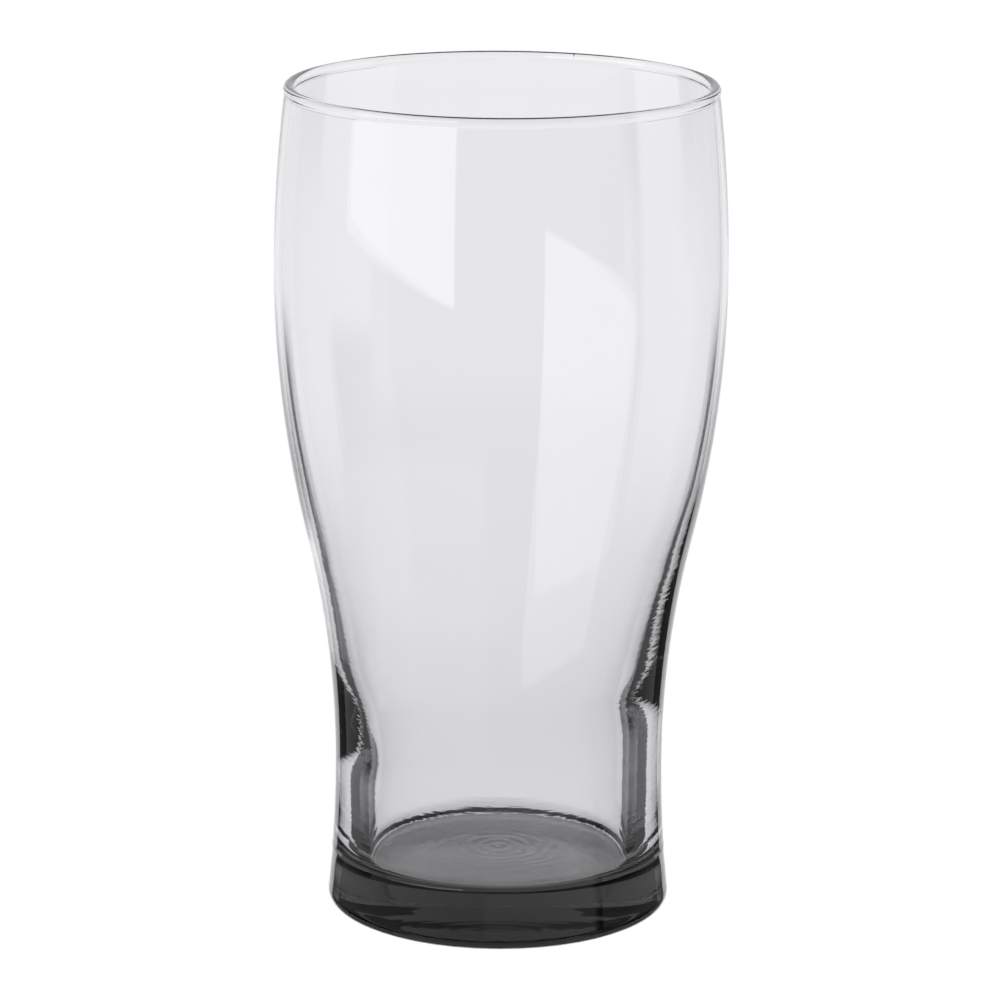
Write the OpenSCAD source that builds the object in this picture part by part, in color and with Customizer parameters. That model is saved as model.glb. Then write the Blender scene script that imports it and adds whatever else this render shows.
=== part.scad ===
// Tulip pint glass: a heavy smoke-tinted foot, a clear wall that swells near the top
// and narrows to a thick-walled waist, and a fire-polished rim.
// Millimetres. The glass is round about the z axis and rests on z = 0.

/* [Overall] */
// Height from the resting plane to the top of the rim
height = 160; // [155:0.5:170]

/* [Outside] */
// Widest diameter of the foot, at the top of its rounded heel
foot_diameter = 65.8; // [64.5:0.1:70]
// Rounding of the heel, where the foot turns under
heel_radius = 2.6; // [1:0.1:4]
// Diameter of the waist, the narrowest part of the outside
waist_diameter = 63; // [60:0.1:64]
// Height of the waist
waist_height = 29; // [25:0.5:35]
// Height where the wall stops flaring outward and starts to curve back in
turn_height = 73; // [65:0.5:80]
// Widest diameter of the belly
belly_diameter = 85.8; // [84:0.1:92]
// Height of the widest part of the belly
belly_height = 124; // [118:0.5:130]
// Outside diameter of the wall just under the rim
mouth_diameter = 81.7; // [80:0.1:83]

/* [Cavity] */
// Wall thickness at the belly
belly_wall = 1.7; // [1.4:0.05:2.4]
// Wall thickness just under the rim
mouth_wall = 1.5; // [1.3:0.05:1.8]
// Radius of the curve of the inner wall below the belly
inner_curve = 185; // [175:1:200]
// Height where the inner wall stops flaring outward and starts to curve back in
inner_turn = 75; // [70:0.5:80]
// Radius of the curve of the inner wall as it flares out from the well
flare_curve = 337; // [250:1:450]
// Diameter of the well, the narrow lower end of the cavity
well_diameter = 50.7; // [47:0.1:51]
// Height where the well starts to widen
kink_bottom = 33; // [29:0.5:37]
// Height where the widening has become the inner wall's flare
kink_top = 42; // [39:0.5:50]
// Rounding between the well and the floor of the cavity
floor_rounding = 1.6; // [1:0.1:4]
// Height of the floor's edge above the resting plane
floor_height = 10.2; // [8:0.1:10.9]
// How far the middle of the floor rises above its edge
floor_crown = 0.5; // [0.2:0.1:1]

/* [Foot] */
// Height of the line where the tinted foot meets the clear wall
seam_height = 11.5; // [11:0.1:14]
// How far the mould line stands out at that height
seam_ridge = 0.12; // [0.05:0.01:0.3]
// Half the height of the mould line
seam_half_height = 0.5; // [0.3:0.1:1]
// Diameter of the hollow inside the resting ring
push_up_diameter = 52; // [40:1:56]
// Depth of that hollow at its middle
push_up_depth = 1.6; // [0.5:0.1:3]

/* [Rim] */
// Outside diameter of the rounded rim
rim_diameter = 82; // [80.5:0.1:84]
// Diameter of the bead of glass that the rim is rounded to
bead_diameter = 2; // [1.8:0.05:2.4]

/* [Hidden] */
$fn = 96;

foot_r = foot_diameter / 2;
waist_r = waist_diameter / 2;
belly_r = belly_diameter / 2;
mouth_r = mouth_diameter / 2;
well_r = well_diameter / 2;
bead_r = bead_diameter / 2;
rim_seat = height - bead_diameter;

// Pieces that each round stretch of the outline is drawn in
heel_steps = 8;
foot_steps = 5;
waist_steps = 12;
belly_steps = 14;
mouth_steps = 8;
kink_steps = 9;
flare_steps = 8;
rounding_steps = 8;
dome_steps = 10;

// How far an arc falls away from its tangent at a distance along that tangent
function sagitta(arc_r, along) = arc_r - sqrt(arc_r * arc_r - along * along);
// Radius of the arc that falls away by drop over a distance along its tangent
function arc_through(along, drop) = (along * along + drop * drop) / (2 * drop);
// 0 to 1 as t goes from 0 to 1, level at both ends
function smooth_step(t) = t * t * (3 - 2 * t);
// Values spread evenly from a to b, both ends included
function spread(a, b, steps) = [for (i = [0:steps]) a + (b - a) * i / steps];

// The outside is four arcs that run smoothly into each other: foot, waist, belly and mouth.
// The waist's and the belly's share one tangent at the turn, which sets both their radii.
both_arcs = arc_through(belly_height - waist_height, belly_r - waist_r);
waist_share = (turn_height - waist_height) / (belly_height - waist_height);
waist_arc = both_arcs * waist_share;
belly_arc = both_arcs - waist_arc;
foot_arc = arc_through(waist_height - heel_radius, foot_r - waist_r);
mouth_arc = arc_through(rim_seat - belly_height, belly_r - mouth_r);

function smooth_outer_r(z) =
    z < waist_height ? waist_r + sagitta(foot_arc, waist_height - z) :
    z < turn_height ? waist_r + sagitta(waist_arc, z - waist_height) :
    z < belly_height ? belly_r - sagitta(belly_arc, belly_height - z) :
    belly_r - sagitta(mouth_arc, z - belly_height);
// What the rounded heel takes off the foot, and what the mould line adds to it
function heel_cut(z) = sagitta(heel_radius, max(heel_radius - z, 0));
function ridge(z) = seam_ridge * max(1 - abs(z - seam_height) / seam_half_height, 0);
function outer_r(z) = smooth_outer_r(z) - heel_cut(z) + ridge(z);

// The inner wall is an arc above and below the belly, then an arc that bends the other way, and
// the well. The two lower arcs share one tangent at the turn.
inner_belly_r = belly_r - belly_wall;
inner_mouth_arc = arc_through(rim_seat - belly_height, inner_belly_r - mouth_r + mouth_wall);
turn_slope = asin((belly_height - inner_turn) / inner_curve);
turn_r = inner_belly_r - sagitta(inner_curve, belly_height - inner_turn);
flare_x = turn_r + flare_curve * cos(turn_slope);
flare_z = inner_turn - flare_curve * sin(turn_slope);

function inner_arc_r(z) = inner_belly_r
    - sagitta(z < belly_height ? inner_curve : inner_mouth_arc, abs(z - belly_height));
function flare_r(z) = flare_x - sqrt(flare_curve * flare_curve - (z - flare_z) * (z - flare_z));
// How much of the way from the well to the flare the wall has come at a height in the kink
function kink_share(z) = smooth_step((z - kink_bottom) / (kink_top - kink_bottom));
function inner_r(z) =
    z > inner_turn ? inner_arc_r(z) :
    z > kink_top ? flare_r(z) :
    well_r + (flare_r(z) - well_r) * kink_share(z);

// Height of a shallow dome that is rise high at the axis and 0 at reach from it
function dome(x, reach, rise) =
    rise - sagitta(arc_through(reach, rise), x);

heel_heights = [for (a = spread(0, 90, heel_steps)) heel_radius * (1 - cos(a))];
outer_heights = concat(
    heel_heights,
    spread(heel_radius + 1, seam_height - seam_half_height, 2),
    [seam_height, seam_height + seam_half_height],
    spread(seam_height + 2, waist_height, foot_steps),
    [for (i = [1:waist_steps]) waist_height + (turn_height - waist_height) * i / waist_steps],
    [for (i = [1:belly_steps]) turn_height + (belly_height - turn_height) * i / belly_steps],
    [for (i = [1:mouth_steps]) belly_height + (rim_seat - belly_height) * i / mouth_steps]
);

module outside_outline() {
    hollow = [
        for (x = spread(0, push_up_diameter / 2, dome_steps))
        [x, dome(x, push_up_diameter / 2, push_up_depth)]
    ];
    side = [for (z = outer_heights) [outer_r(z), z]];
    polygon(concat(hollow, side, [[0, rim_seat]]));
}

// The cavity runs up past the rim's seat so that it opens through the rim as well.
module cavity_outline() {
    floor_r = well_r - floor_rounding;
    crown = [for (x = spread(0, floor_r, dome_steps)) [x, floor_height + dome(x, floor_r, floor_crown)]];
    corner = [
        for (a = [1:rounding_steps])
        [
            floor_r + floor_rounding * sin(90 * a / rounding_steps),
            floor_height + floor_rounding * (1 - cos(90 * a / rounding_steps))
        ]
    ];
    wall = [
        for (z = concat(
            spread(kink_bottom, kink_top, kink_steps),
            [for (i = [1:flare_steps]) kink_top + (inner_turn - kink_top) * i / flare_steps],
            [for (i = [1:belly_steps]) inner_turn + (belly_height - inner_turn) * i / belly_steps],
            [for (i = [1:mouth_steps]) belly_height + (rim_seat - belly_height) * i / mouth_steps]
        ))
        [inner_r(z), z]
    ];
    above = [[mouth_r - mouth_wall, height + 1], [0, height + 1]];
    polygon(concat(crown, corner, wall, above));
}

// The glass between two heights
module glass_band(low, high) {
    rotate_extrude()
    intersection() {
        difference() {
            outside_outline();
            cavity_outline();
        }
        translate([0, low])
        square([belly_diameter, high - low]);
    }
}

module tinted_foot() {
    color([0.20, 0.20, 0.21])
    glass_band(0, seam_height);
}

module clear_bowl() {
    color([0.88, 0.88, 0.90, 0.35])
    glass_band(seam_height, rim_seat);
}

// A bead that stands on the end of the wall, which runs a little way up into it
module polished_rim() {
    bead_centre_r = rim_diameter / 2 - bead_r;
    color([0.93, 0.93, 0.95, 0.35])
    rotate_extrude()
    union() {
        translate([bead_centre_r, height - bead_r])
        circle(r = bead_r);
        translate([mouth_r - mouth_wall, rim_seat])
        square([mouth_wall, bead_r / 2]);
    }
}

tinted_foot();
clear_bowl();
polished_rim();
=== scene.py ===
"""Looks of a tulip pint glass: three lathed pieces of real glass on a plain pale floor."""

import math

import bpy
import numpy as np
from mathutils import Matrix, Vector


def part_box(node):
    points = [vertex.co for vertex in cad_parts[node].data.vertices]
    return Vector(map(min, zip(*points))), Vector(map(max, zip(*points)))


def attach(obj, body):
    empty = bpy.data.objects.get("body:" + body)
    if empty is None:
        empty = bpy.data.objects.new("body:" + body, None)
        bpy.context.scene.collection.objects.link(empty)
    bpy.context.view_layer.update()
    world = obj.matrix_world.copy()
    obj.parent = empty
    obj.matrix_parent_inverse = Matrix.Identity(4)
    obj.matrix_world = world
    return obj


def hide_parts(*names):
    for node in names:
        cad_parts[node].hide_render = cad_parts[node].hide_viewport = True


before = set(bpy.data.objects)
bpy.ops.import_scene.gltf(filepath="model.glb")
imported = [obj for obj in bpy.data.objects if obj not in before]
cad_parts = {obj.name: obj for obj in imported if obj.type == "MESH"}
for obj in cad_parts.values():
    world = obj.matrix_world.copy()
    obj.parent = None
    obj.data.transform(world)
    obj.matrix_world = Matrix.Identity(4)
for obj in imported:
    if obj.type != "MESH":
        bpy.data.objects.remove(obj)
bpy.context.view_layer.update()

MM = 0.001
FOOT, BOWL, RIM = "tinted_foot", "clear_bowl", "polished_rim"
FOOT_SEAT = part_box(FOOT)[1].z          # where the foot meets the bowl
RIM_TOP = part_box(RIM)[1].z
RIM_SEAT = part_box(BOWL)[1].z           # where the bowl meets the rim's bead

SIDES = 240                # segments round each lathed piece
SEAT_GAP = 0.02 * MM       # air left between two pieces that meet at a flat seat
LONG_CHORD = 5 * MM        # a longer stretch of the CAD outline is straight
FINE_STEP = 0.05 * MM
WIDEST_STEP = 0.9 * MM
FILL_STEP = 0.3 * LONG_CHORD
SHARPEST_TURN = math.radians(0.7)
HAIR = 1e-6                # metres: what counts as the same height
LEAST_BEND = 0.002         # sine of the least turn at a corner of the outline
SAME_POINT = 0.05 * MM     # corners of the CAD mesh closer than this are one corner
FLAT = 0.5                 # a face whose normal rises more than this is a floor, not a wall
UNDERSIDE = 2 * MM         # everything lower is the outside of the foot
CAVITY = "cavity"          # vertex attribute: 1 on the cavity's side
RIDGE_WORN = 0.07 * MM     # what fire polishing took off the mould line

# The plunger that pressed the cavity stood off the axis, most of all near the kink, so each ring
# of the cavity's wall is shifted sideways. The shift grows and dies away over these heights.
PLUNGER_SHIFT = (-0.9 * MM, 0.6 * MM)
SHIFT_RISE = (28 * MM, 46 * MM)
SHIFT_FALL = (30 * MM, 88 * MM)
# The kink is eased by averaging the cavity's radius over this reach, between these heights.
SOFT_REACH = 8 * MM
SOFT_SAMPLES = 21
SOFT_FROM = (15 * MM, 25 * MM)
SOFT_TO = (50 * MM, 64 * MM)
BEAD_ARC = (-25, 206, 5)   # degrees round the rim's bead: from, to, step


# ---------------------------------------------------------------- the CAD outline

def cad_outline(node, cavity):
    """(radius, height) corners of a CAD node in order, on its cavity side or on its other side."""
    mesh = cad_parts[node].data
    low, top = (corner.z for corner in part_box(node))
    found = set()
    for face in mesh.polygons:
        corners = [mesh.vertices[i].co for i in face.vertices]
        heights = [c.z for c in corners]
        seat = min(heights) > top - HAIR or (node != FOOT and max(heights) < low + HAIR)
        across = math.hypot(face.center.x, face.center.y)
        outward = face.normal.x * face.center.x + face.normal.y * face.center.y
        up = face.normal.z
        inward = up > FLAT or (abs(up) <= FLAT and outward < 0)
        if node == FOOT and max(heights) < UNDERSIDE:
            inward = False
        if not seat and across > 0 and inward == cavity:
            found.update((math.hypot(c.x, c.y), c.z) for c in corners)
    start = min(found) if node == FOOT else min(found, key=lambda p: p[1])
    return corners_only(chain(found, start))


def chain(points, start):
    """The points in order along the outline: each next one is the nearest that isn't a repeat."""
    line = [start]
    rest = points
    while rest:
        rest = [p for p in rest if math.dist(p, line[-1]) > SAME_POINT]
        if rest:
            line.append(min(rest, key=lambda p: math.dist(p, line[-1])))
    return np.array(line)


def corners_only(line):
    """The outline without the points that only split a straight stretch of it."""
    way = np.diff(line, axis=0)
    way /= np.hypot(*way.T)[:, None]
    bend = np.abs(way[:-1, 0] * way[1:, 1] - way[:-1, 1] * way[1:, 0])
    return line[np.concatenate([[True], bend > LEAST_BEND, [True]])]


def fill_straights(line):
    """The same outline with points added along its long straight stretches."""
    out = [line[0]]
    for a, b in zip(line[:-1], line[1:]):
        length = float(np.hypot(*(b - a)))
        parts = round(length / FILL_STEP) if length > LONG_CHORD else 1
        out += [a + (b - a) * k / parts for k in range(1, parts + 1)]
    return np.array(out)


def spline(line):
    """A natural cubic spline through the outline, sampled in fine steps."""
    knots = np.concatenate([[0], np.cumsum(np.hypot(*np.diff(line, axis=0).T))])
    h = np.diff(knots)
    count = len(line)
    system = np.eye(count)
    right = np.zeros((count, 2))
    for i in range(1, count - 1):
        system[i, i - 1:i + 2] = h[i - 1], 2 * (h[i - 1] + h[i]), h[i]
        right[i] = 6 * ((line[i + 1] - line[i]) / h[i] - (line[i] - line[i - 1]) / h[i - 1])
    bend = np.linalg.solve(system, right)
    at = np.linspace(0, knots[-1], max(2, int(knots[-1] / FINE_STEP)))
    i = np.clip(np.searchsorted(knots, at, side="right") - 1, 0, count - 2)
    a = (knots[i + 1] - at)[:, None]
    b = (at - knots[i])[:, None]
    step = h[i][:, None]
    return (
        bend[i] * a ** 3 / (6 * step) + bend[i + 1] * b ** 3 / (6 * step)
        + (line[i] / step - bend[i] * step / 6) * a
        + (line[i + 1] / step - bend[i + 1] * step / 6) * b
    )


def thin_out(line):
    """The samples that the surface needs: close where it bends, wider where it is straight."""
    way = np.diff(line, axis=0)
    heading = np.unwrap(np.arctan2(way[:, 1], way[:, 0]))
    kept = [0]
    turn = 0.0
    for i in range(1, len(line) - 1):
        turn += abs(heading[i] - heading[i - 1])
        if np.hypot(*(line[i] - line[kept[-1]])) >= WIDEST_STEP or turn >= SHARPEST_TURN:
            kept.append(i)
            turn = 0.0
    return line[kept + [len(line) - 1]]


def smooth(line):
    return spline(fill_straights(line))


# ---------------------------------------------------------------- lathed pieces

def lathe(name, outline, closed):
    """A lathed solid from rows of radius, height and whether they face the cavity, whose wall is
    then settled. An outline that isn't closed starts and ends on the axis."""
    rows = list(outline if closed else outline[1:-1])
    turns = [2 * math.pi * k / SIDES for k in range(SIDES)]
    points = [(r * math.cos(t), r * math.sin(t), z) for r, z, _ in rows for t in turns]
    cavity = [side for _, _, side in rows for _ in turns]
    points = [settle(point) if side else point for point, side in zip(points, cavity)]
    faces = []
    for i in range(len(rows) if closed else len(rows) - 1):
        a, b = i * SIDES, (i + 1) % len(rows) * SIDES
        faces += [(a + k, a + (k + 1) % SIDES, b + (k + 1) % SIDES, b + k) for k in range(SIDES)]
    if not closed:
        first, last = len(points), len(points) + 1
        points += [(0, 0, outline[0][1]), (0, 0, outline[-1][1])]
        end = (len(rows) - 1) * SIDES
        faces += [(first, (k + 1) % SIDES, k) for k in range(SIDES)]
        faces += [(last, end + k, end + (k + 1) % SIDES) for k in range(SIDES)]
        cavity += [outline[0][2], outline[-1][2]]
    mesh = bpy.data.meshes.new(name)
    mesh.from_pydata(points, [], faces)
    mesh.attributes.new(CAVITY, "FLOAT", "POINT").data.foreach_set("value", cavity)
    mesh.shade_smooth()
    mesh.set_sharp_from_angle(angle=SHARP_EDGE)
    piece = bpy.data.objects.new(name, mesh)
    bpy.context.scene.collection.objects.link(piece)
    return piece


def ease(value, low, high):
    """0 below low and 1 above high, with a smooth step between."""
    t = min(max((value - low) / (high - low), 0), 1)
    return t * t * (3 - 2 * t)


def settle(point):
    """Where the cavity's wall really is, since the plunger that pressed it wasn't quite true."""
    x, y, z = point
    shift = ease(z, *SHIFT_RISE) * (1 - ease(z, *SHIFT_FALL))
    return x + shift * PLUNGER_SHIFT[0], y + shift * PLUNGER_SHIFT[1], z


def soften(line):
    """The cavity's wall with its kink eased: each radius is an average of those near it."""
    out = line.copy()
    for row in out:
        reach = SOFT_REACH * ease(row[1], *SOFT_FROM) * (1 - ease(row[1], *SOFT_TO))
        near = row[1] + reach * np.linspace(-1, 1, SOFT_SAMPLES)
        if reach > 0:
            row[0] = np.interp(near, line[:, 1], line[:, 0]).mean()
    return out


def outer_wall(node):
    """The outside of the foot or the bowl, its mould line fire-polished down to a faint ridge."""
    line = cad_outline(node, False)
    line[np.abs(line[:, 1] - FOOT_SEAT) < HAIR, 0] -= RIDGE_WORN
    return smooth(line)


def marked(line, cavity):
    return np.column_stack([line, np.full(len(line), float(cavity))])


def foot_outline():
    outside = outer_wall(FOOT)
    outside[:, 1] = np.maximum(outside[:, 1], 0)
    cavity = smooth(cad_outline(FOOT, True))[::-1]
    outside[-1][1] = cavity[0][1] = FOOT_SEAT - SEAT_GAP / 2
    return np.concatenate([marked(thin_out(outside), False), marked(thin_out(cavity), True)])


def bowl_outline():
    outside = outer_wall(BOWL)
    cavity = soften(smooth(cad_outline(BOWL, True)))[::-1]
    outside[0][1] = cavity[-1][1] = FOOT_SEAT + SEAT_GAP / 2
    outside[-1][1] = cavity[0][1] = RIM_SEAT - SEAT_GAP / 2
    return np.concatenate([marked(thin_out(outside), False), marked(thin_out(cavity), True)])


def rim_outline():
    """The bead: it swells from the wall's width at its seat and is round on top."""
    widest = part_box(RIM)[1].x
    bead = (RIM_TOP - RIM_SEAT) / 2
    wall_out = cad_outline(BOWL, False)[-1][0]
    wall_in = cad_outline(BOWL, True)[-1][0]
    middle = widest - bead
    top = RIM_SEAT + bead
    turns = np.radians(np.arange(*BEAD_ARC))
    arc = [(middle + bead * math.cos(t), top + bead * math.sin(t)) for t in turns]
    line = [(wall_out, RIM_SEAT + SEAT_GAP / 2)] + arc + [(wall_in, RIM_SEAT + SEAT_GAP / 2)]
    return marked(thin_out(spline(np.array(line))), False)


# ---------------------------------------------------------------- glass

def link(tree, a, b):
    tree.links.new(a, b)


def sum_up(tree, operation, *inputs):
    """A math node, its inputs being numbers or sockets."""
    step = tree.nodes.new("ShaderNodeMath")
    step.operation = operation
    for socket, value in zip(step.inputs, inputs):
        if isinstance(value, (int, float)):
            socket.default_value = value
        else:
            link(tree, value, socket)
    return step.outputs[0]


def fade(tree, value, low, high):
    """0 below low and 1 above high, with a smooth step between."""
    step = tree.nodes.new("ShaderNodeMapRange")
    step.interpolation_type = "SMOOTHSTEP"
    link(tree, value, step.inputs["Value"])
    step.inputs["From Min"].default_value = low
    step.inputs["From Max"].default_value = high
    return step.outputs["Result"]


def texture(tree, kind, place, scale, **settings):
    """A noise or Voronoi texture on coordinates that are scaled by so much per metre."""
    spread = tree.nodes.new("ShaderNodeVectorMath")
    spread.operation = "MULTIPLY"
    link(tree, place, spread.inputs[0])
    spread.inputs[1].default_value = scale
    step = tree.nodes.new(kind)
    link(tree, spread.outputs[0], step.inputs["Vector"])
    step.inputs["Scale"].default_value = 1
    for name, value in settings.items():
        step.inputs[name].default_value = value
    return step


def pressed_marks(tree, place, x, y, z):
    """Height in metres of what pressing left on the glass: fine ripples round the cavity's wall,
    wider swirled rings on its floor, and small seeds all over."""
    side = tree.nodes.new("ShaderNodeAttribute")
    side.attribute_name = CAVITY
    inside = side.outputs["Fac"]
    low = sum_up(tree, "SUBTRACT", 1, fade(tree, z, *RIPPLE_FADE))
    ripple = texture(tree, "ShaderNodeTexNoise", place, RIPPLE_SCALE, Detail=2.0, Roughness=0.6)
    wall = sum_up(tree, "MULTIPLY", ripple.outputs[0], sum_up(tree, "MULTIPLY", low, RIPPLE))
    swirl = texture(tree, "ShaderNodeTexNoise", place, SWIRL_SCALE, Detail=3.0, Roughness=0.55)
    across = sum_up(tree, "SQRT", sum_up(tree, "MULTIPLY_ADD", x, x, sum_up(tree, "MULTIPLY", y, y)))
    turn = sum_up(tree, "MULTIPLY", across, RING_TURN)
    turn = sum_up(tree, "MULTIPLY_ADD", swirl.outputs[0], SWIRL, turn)
    rings = sum_up(tree, "MULTIPLY", sum_up(tree, "SINE", turn), swirl.outputs[0])
    on_floor = sum_up(tree, "SUBTRACT", 1, fade(tree, across, *FLOOR_FADE))
    flat = sum_up(tree, "SUBTRACT", 1, fade(tree, z, *FLOOR_TOP))
    rings = sum_up(tree, "MULTIPLY", sum_up(tree, "MULTIPLY", rings, RING), on_floor)
    marks = sum_up(tree, "MULTIPLY", sum_up(tree, "MULTIPLY_ADD", rings, flat, wall), inside)
    seeds = texture(tree, "ShaderNodeTexVoronoi", place, (SEEDS, SEEDS, SEEDS))
    pit = fade(tree, seeds.outputs["Distance"], 0, SEED_SIZE)
    return sum_up(tree, "MULTIPLY_ADD", pit, SEED_DEPTH, marks)


def glass(name, absorb, seats):
    """Polished glass that absorbs so much per metre in red, green and blue.
    At its flat seats it meets more glass, so nothing bends or glints there."""
    material = bpy.data.materials.new(name)
    material.use_nodes = True
    tree = material.node_tree
    tree.nodes.clear()
    out = tree.nodes.new("ShaderNodeOutputMaterial")
    shader = tree.nodes.new("ShaderNodeBsdfPrincipled")
    shader.inputs["Base Color"].default_value = (1, 1, 1, 1)
    shader.inputs["Roughness"].default_value = 0
    shader.inputs["Transmission Weight"].default_value = 1
    link(tree, shader.outputs[0], out.inputs["Surface"])
    volume = tree.nodes.new("ShaderNodeVolumeAbsorption")
    density = VOLUME_ROOM * max(absorb)
    volume.inputs["Color"].default_value = [1 - a / density for a in absorb] + [1]
    volume.inputs["Density"].default_value = density
    link(tree, volume.outputs[0], out.inputs["Volume"])
    place = tree.nodes.new("ShaderNodeTexCoord")
    split = tree.nodes.new("ShaderNodeSeparateXYZ")
    link(tree, place.outputs["Object"], split.inputs[0])
    dent = tree.nodes.new("ShaderNodeBump")
    dent.inputs["Distance"].default_value = 1
    link(tree, pressed_marks(tree, place.outputs["Object"], *split.outputs), dent.inputs["Height"])
    link(tree, dent.outputs[0], shader.inputs["Normal"])
    index = GLASS_IOR
    for height in seats:
        at_seat = sum_up(tree, "COMPARE", split.outputs["Z"], height, SEAT_GAP)
        index = sum_up(tree, "MULTIPLY_ADD", at_seat, 1 - GLASS_IOR, index)
    link(tree, index, shader.inputs["IOR"])
    return material


CLEAR = (12.9, 13.1, 12.2)             # absorbed per metre in red, green and blue
SMOKE = (52.0, 52.0, 52.0)
VOLUME_ROOM = 1.25                     # density over the greatest absorption, so no colour is 0
GLASS_IOR = 1.5
SHARP_EDGE = math.radians(40)
RIPPLE = 12e-6                         # metres from crest to trough
RIPPLE_SCALE = (150, 150, 1200)        # per metre
RIPPLE_FADE = (60 * MM, 95 * MM)
RING = 24e-6                           # metres above and below the floor
RING_TURN = 2 * math.pi / (2.4 * MM)
SWIRL = 11.0                           # radians that the swirl bends the rings by
SWIRL_SCALE = (90, 90, 90)
FLOOR_FADE = (11 * MM, 20 * MM)
FLOOR_TOP = (10.8 * MM, 11.2 * MM)
SEEDS = 180                            # per metre
SEED_SIZE = 0.03
SEED_DEPTH = 60e-6

foot = lathe("smoked_foot", foot_outline(), False)
bowl = lathe("clear_wall", bowl_outline(), True)
rim = lathe("rim_bead", rim_outline(), True)
smoke = glass("smoke_glass", SMOKE, [FOOT_SEAT])
clear = glass("clear_glass", CLEAR, [FOOT_SEAT, RIM_SEAT])
for piece, node, material, slot in (
    (foot, FOOT, smoke, "smoke_glass"),
    (bowl, BOWL, clear, "clear_glass"),
    (rim, RIM, clear, "clear_glass"),
):
    piece.data.materials.append(material)
    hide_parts(node)
    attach(piece, "root")


# ---------------------------------------------------------------- stage

def emission(name, colour, strength):
    material = bpy.data.materials.new(name)
    material.use_nodes = True
    tree = material.node_tree
    tree.nodes.clear()
    out = tree.nodes.new("ShaderNodeOutputMaterial")
    glow = tree.nodes.new("ShaderNodeEmission")
    glow.inputs[0].default_value = (*colour, 1)
    glow.inputs[1].default_value = strength
    link(tree, glow.outputs[0], out.inputs["Surface"])
    return material


def seen_only_by_camera(piece):
    piece.visible_diffuse = piece.visible_glossy = piece.visible_transmission = False
    piece.visible_volume_scatter = piece.visible_shadow = False


def stage_mesh(name, points, faces, material):
    mesh = bpy.data.meshes.new(name)
    mesh.from_pydata(points, [], faces)
    mesh.materials.append(material)
    piece = bpy.data.objects.new(name, mesh)
    bpy.context.scene.collection.objects.link(piece)
    return piece


def pale_floor():
    """A plain pale floor that runs out to a plain pale wall all round."""
    pale = emission("pale_floor", WHITE, FLOOR_GLOW)
    turns = [2 * math.pi * k / WALL_SIDES for k in range(WALL_SIDES)]
    ring = [(WALL_REACH * math.cos(t), WALL_REACH * math.sin(t)) for t in turns]
    points = [(x, y, z) for z in (FLOOR_LEVEL, WALL_HEIGHT) for x, y in ring]
    n = WALL_SIDES
    sides = [(k, (k + 1) % n, n + (k + 1) % n, n + k) for k in range(n)]
    ends = [tuple(range(n)), tuple(range(n, 2 * n))]
    seen_only_by_camera(stage_mesh("floor", points, sides + ends, pale))


def painted_shadow_under_foot():
    """The floor right under the foot, where little light gets in: a dim disc laid there is a painted
    shadow.
    """
    dim = emission("painted_shadow_floor", WHITE, PAINTED_SHADOW_GLOW)
    reach = 0.5 * UNDER_DIAMETER
    turns = [2 * math.pi * k / WALL_SIDES for k in range(WALL_SIDES)]
    ring = [(reach * math.cos(t), reach * math.sin(t), 0.5 * FLOOR_LEVEL) for t in turns]
    disc = stage_mesh("painted_shadow_under_foot", ring, [tuple(range(WALL_SIDES))], dim)
    disc.visible_shadow = False


def screen(name, start, end, top, material):
    """An upright curved screen between two bearings, out of the camera's sight."""
    turns = np.radians(np.linspace(start, end, SCREEN_SIDES))
    points = [
        (SCREEN_REACH * math.sin(t), SCREEN_REACH * math.cos(t), z)
        for z in (SCREEN_FADE[0], top) for t in turns
    ]
    n = len(turns)
    sides = [(k, k + 1, n + k + 1, n + k) for k in range(n - 1)]
    stage_mesh(name, points, sides, material).visible_camera = False


def side_panels():
    """Pale panels on both sides of the glass, which fade downwards."""
    for name, start, end, glow in SIDE_PANELS:
        pale = emission(name, TINT, glow)
        tree = pale.node_tree
        place = tree.nodes.new("ShaderNodeTexCoord")
        split = tree.nodes.new("ShaderNodeSeparateXYZ")
        link(tree, place.outputs["Object"], split.inputs[0])
        shade = sum_up(tree, "MULTIPLY", fade(tree, split.outputs[2], *SCREEN_FADE), glow)
        link(tree, shade, tree.nodes["Emission"].inputs[1])
        screen(name, start, end, PANEL_TOP, pale)


def key_flag():
    """A low dim screen that keeps the key light's glare off the foot."""
    screen("key_flag", *FLAG_SPAN, FLAG_TOP, emission("key_flag", TINT, FLAG_GLOW))


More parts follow.
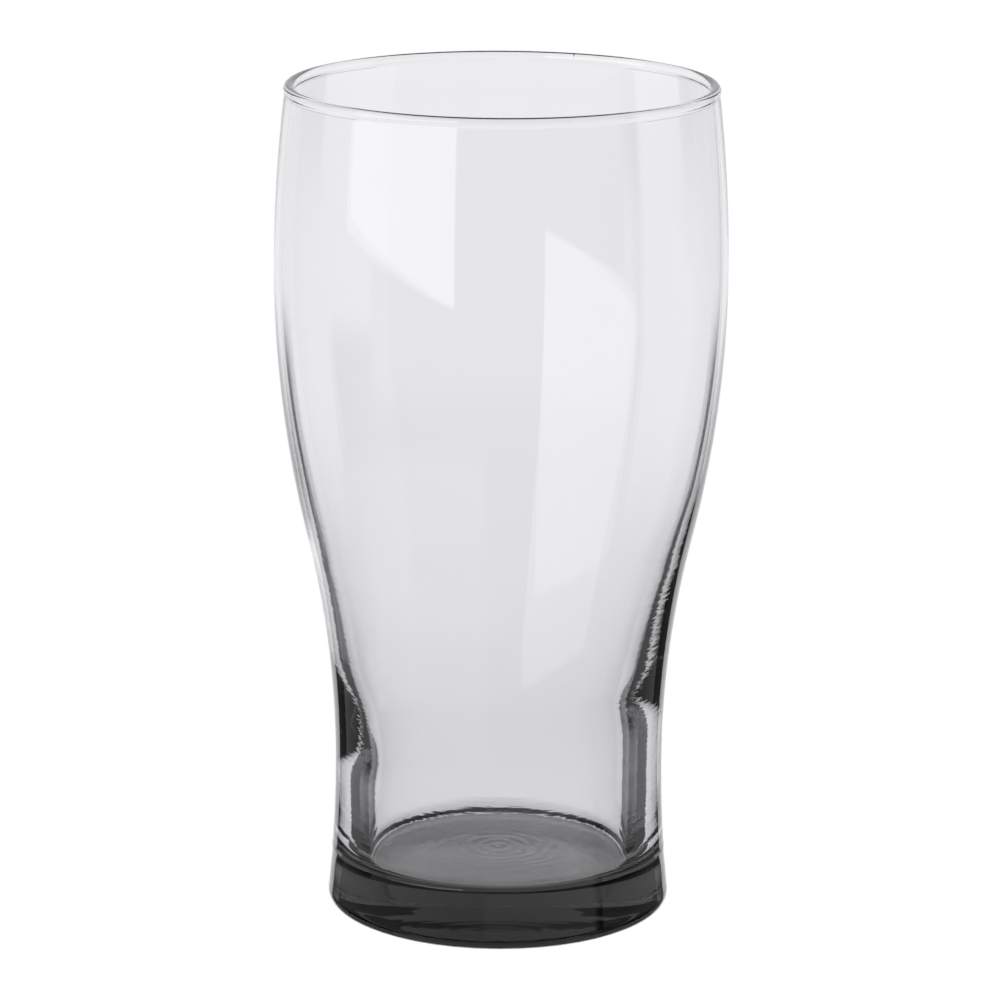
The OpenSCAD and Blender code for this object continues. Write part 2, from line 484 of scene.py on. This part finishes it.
def studio():
    """A dark room with pale cards round it. Where cards overlap, the brighter one shows."""
    world = bpy.data.worlds.new("studio")
    world.use_nodes = True
    bpy.context.scene.world = world
    tree = world.node_tree
    tree.nodes.clear()
    out = tree.nodes.new("ShaderNodeOutputWorld")
    back = tree.nodes.new("ShaderNodeBackground")
    link(tree, back.outputs[0], out.inputs[0])
    place = tree.nodes.new("ShaderNodeTexCoord")
    split = tree.nodes.new("ShaderNodeSeparateXYZ")
    link(tree, place.outputs["Generated"], split.inputs[0])
    x, y, z = split.outputs
    bearing = sum_up(tree, "ARCTAN2", x, y)
    rise = sum_up(tree, "ARCSINE", z)
    total = ROOM_GLOW
    for centre, half, low, high, soft, glow, slope in CARDS:
        centre, half, low, high, soft = (math.radians(v) for v in (centre, half, low, high, soft))
        off = sum_up(tree, "SUBTRACT", bearing, centre)
        off = sum_up(tree, "WRAP", off, math.pi, -math.pi)
        edge = sum_up(tree, "MULTIPLY_ADD", off, -slope, rise)
        off = sum_up(tree, "ABSOLUTE", off)
        across = sum_up(tree, "SUBTRACT", 1, fade(tree, off, half - soft, half + soft))
        above = fade(tree, edge, low - soft, low + soft)
        below = sum_up(tree, "SUBTRACT", 1, fade(tree, rise, high - soft, high + soft))
        lit = sum_up(tree, "MULTIPLY", sum_up(tree, "MULTIPLY", across, above), below)
        total = sum_up(tree, "MAXIMUM", sum_up(tree, "MULTIPLY", lit, glow), total)
    link(tree, total, back.inputs["Strength"])
    back.inputs["Color"].default_value = (*TINT, 1)


WHITE = (1, 1, 1)
TINT = (0.995, 0.99, 1.02)
FLOOR_GLOW = 1.0
UNDER_DIAMETER = 62 * MM
FLOOR_LEVEL = -0.2 * MM
WALL_SIDES = 48
WALL_REACH = 6
WALL_HEIGHT = 4
ROOM_GLOW = 0.06
# glow of the disc under the foot: a painted shadow, dimmer than the pale floor round it
PAINTED_SHADOW_GLOW = 0.18
# Each card: the bearing of its middle, clockwise from +Y as seen from above, its half width, its
# lowest and highest elevation and how soft its edges are, all in degrees, then its glow and how
# far its low edge slopes.
CARDS = (
    (0, 28, -45, 30, 1.0, 0.90, 0),
    (0, 28, -11, 30, 2.0, 0.925, 0),
    (-69, 42, -14, 30, 3, 0.85, 0),
    (66, 38, -14, 30, 3, 0.74, 0),
    (180, 70, -22, 16, 4, 0.42, 0),
    (-126, 30.5, -9, 14, 0.5, 1.9, 0.075),
)
SCREEN_REACH = 200 * MM
SCREEN_SIDES = 24
SCREEN_FADE = (-80 * MM, 50 * MM)      # the panels are black below the first, full above the second
SIDE_PANELS = (("left_panel", -92, -52, 0.82), ("right_panel", 52, 110, 0.7))
PANEL_TOP = 160 * MM
FLAG_SPAN = (-172, -88)
FLAG_TOP = 12 * MM
FLAG_GLOW = 0.3
pale_floor()
studio()
side_panels()
key_flag()
painted_shadow_under_foot()


# ---------------------------------------------------------------- camera

LENS = 177.9
SENSOR = 36
CAMERA_PLACE = Vector((0, -0.9167, 0.3053))
CAMERA_AIM = Vector((0, 0, 0.0796))
CAMERA_ROLL = math.radians(0.316)
BOUNCES = 24
GLOSSY_BOUNCES = 12
CLEAR_BOUNCES = 8


def camera():
    data = bpy.data.cameras.new("camera")
    data.lens = LENS
    data.sensor_width = SENSOR
    data.clip_start = 10 * MM
    seer = bpy.data.objects.new("camera", data)
    bpy.context.scene.collection.objects.link(seer)
    turn = (CAMERA_AIM - CAMERA_PLACE).to_track_quat("-Z", "Y").to_matrix().to_4x4()
    roll = Matrix.Rotation(CAMERA_ROLL, 4, "Z")
    seer.matrix_world = Matrix.Translation(CAMERA_PLACE) @ turn @ roll
    bpy.context.scene.camera = seer


camera()
scene = bpy.context.scene
scene.view_settings.view_transform = "Standard"
scene.cycles.use_denoising = True
scene.cycles.max_bounces = BOUNCES
scene.cycles.transmission_bounces = BOUNCES
scene.cycles.glossy_bounces = GLOSSY_BOUNCES
scene.cycles.transparent_max_bounces = CLEAR_BOUNCES
